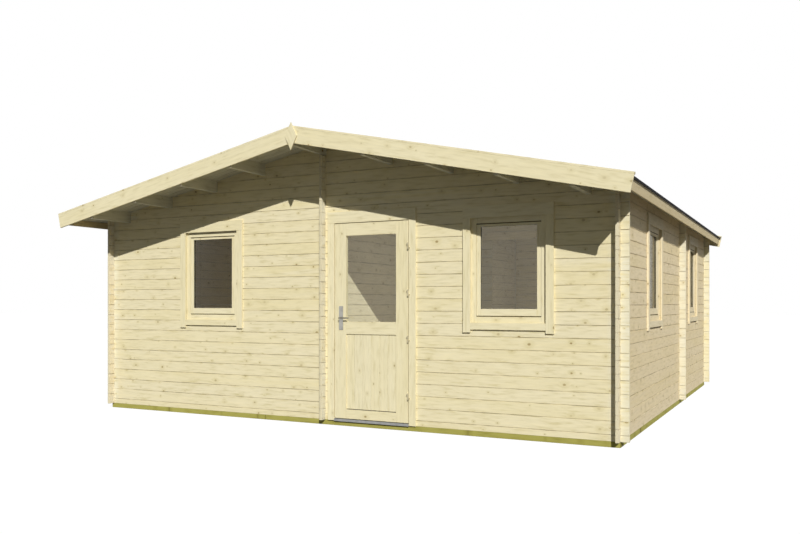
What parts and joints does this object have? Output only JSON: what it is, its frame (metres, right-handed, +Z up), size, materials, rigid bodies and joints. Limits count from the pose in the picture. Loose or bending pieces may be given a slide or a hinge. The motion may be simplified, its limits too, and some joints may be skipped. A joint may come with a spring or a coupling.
{
  "type": "log cabin",
  "caption": "Small gabled log cabin of notched pine logs with a half glazed front door, casement-style windows, overhanging boarded roof and treated base beams.",
  "frame": {"origin": "on the ground, under the middle of the cabin's whole outline", "axes": "+X to the right across the front, +Y to the rear, +Z up; the front door faces -Y"},
  "size_m": [6.2604, 6.6046, 2.8931],
  "materials": {
    "wall_pine": "untreated pine logs with fine grain and small knots",
    "inner_pine": "planed pine, in the shade",
    "trim_pine": "planed pine boards",
    "impregnated_wood": "pressure treated, olive green",
    "roofing_felt": "matt black roofing felt",
    "threshold_metal": "dull grey",
    "hinge_steel": "zinc plated",
    "handle_metal": "satin silver",
    "glass": "clear"
  },
  "bodies": {
    "cabin": {"barge_caps": "trim_pine", "bargeboards_front": "trim_pine", "bargeboards_rear": "trim_pine", "door_casing": "trim_pine", "door_frame": "trim_pine", "fascia_left": "trim_pine", "fascia_right": "trim_pine", "floor_boards": "inner_pine", "floor_joists": "impregnated_wood", "foundation_beams": "impregnated_wood", "front_gable": "wall_pine", "front_wall_left": "wall_pine", "front_wall_right": "wall_pine", "front_window_casings": "trim_pine", "front_window_frames": "trim_pine", "front_window_panes": "glass", "front_window_sashes": "trim_pine", "hinge_pins": "hinge_steel", "left_wall": "wall_pine", "left_window_casings": "trim_pine", "left_window_frames": "trim_pine", "left_window_panes": "glass", "left_window_sashes": "trim_pine", "partition_cross": "inner_pine", "partition_long": "inner_pine", "purlins": "inner_pine", "rear_wall": "wall_pine", "ridge_diamonds": "trim_pine", "right_wall": "wall_pine", "right_window_casings": "trim_pine", "right_window_frames": "trim_pine", "right_window_panes": "glass", "right_window_sashes": "trim_pine", "roof_boards_left": "inner_pine", "roof_boards_right": "inner_pine", "roofing_left": "roofing_felt", "roofing_right": "roofing_felt", "threshold": "threshold_metal"},
    "door": {"door_leaf": "trim_pine", "door_glass": "glass", "door_panel": "glass", "hinge_knuckles": "hinge_steel", "handle_plates": "handle_metal"},
    "lever": {"door_lever": "handle_metal"}
  },
  "joints": [
    {"name": "door_hinge", "type": "hinge", "parent": "cabin", "child": "door", "pos_m": [0.9425, -2.7453, 0.075], "axis": [0, 0, 1], "range_deg": [0, 110]},
    {"name": "lever_turn", "type": "hinge", "parent": "door", "child": "lever", "pos_m": [0.205, -2.734, 1.06], "axis": [0, 1, 0], "range_deg": [0, 40], "stiffness_Nm_per_rad": 1.5, "springref_deg": -17.19}
  ]
}
